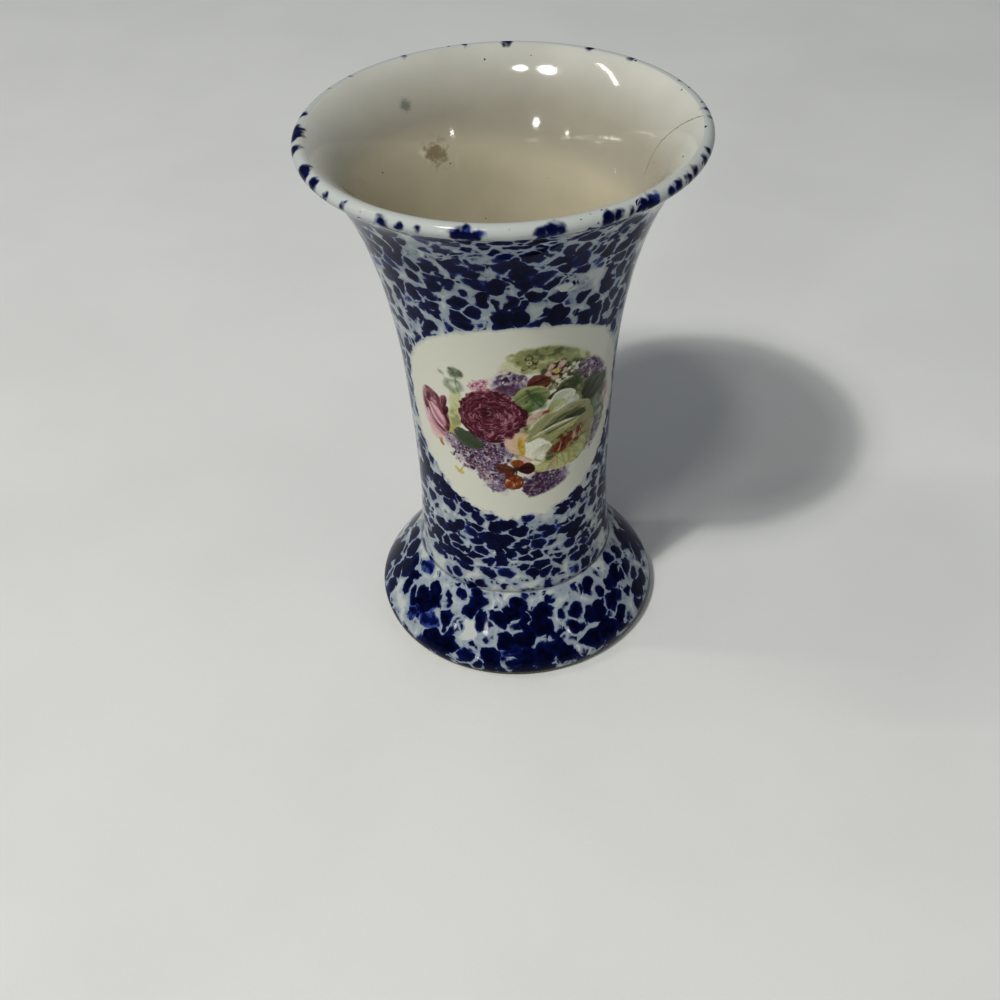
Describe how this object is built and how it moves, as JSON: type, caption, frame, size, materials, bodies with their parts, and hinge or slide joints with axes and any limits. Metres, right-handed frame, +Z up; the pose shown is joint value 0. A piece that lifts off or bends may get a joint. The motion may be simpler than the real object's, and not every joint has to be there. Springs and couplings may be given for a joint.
{
  "type": "pottery vase",
  "caption": "Small waisted earthenware vase with a flared mouth and a spreading hollow foot, glazed, with an oval printed spray on the front.",
  "frame": {"origin": "centre of the ring that the foot rests on, at the bottom of the vase", "axes": "+Z up the vase's axis towards the mouth, -Y towards the printed front, +X to the front's right"},
  "size_m": [0.09, 0.09, 0.1358],
  "materials": {
    "bare_clay": "unglazed, stained with use",
    "slip": "fired slip, matt",
    "fired_clay": "biscuit-fired, matt",
    "sponged_glaze": "glossy white glaze over sponged blue dabs",
    "cream_glaze": "glossy cream glaze",
    "print": "glossy fired print of flowers on white"
  },
  "bodies": {
    "root": {"foot": "bare_clay", "luting_slip": "slip", "body": "fired_clay", "outer_glaze": "sponged_glaze", "inner_glaze": "cream_glaze", "printed_spray": "print"}
  },
  "joints": []
}
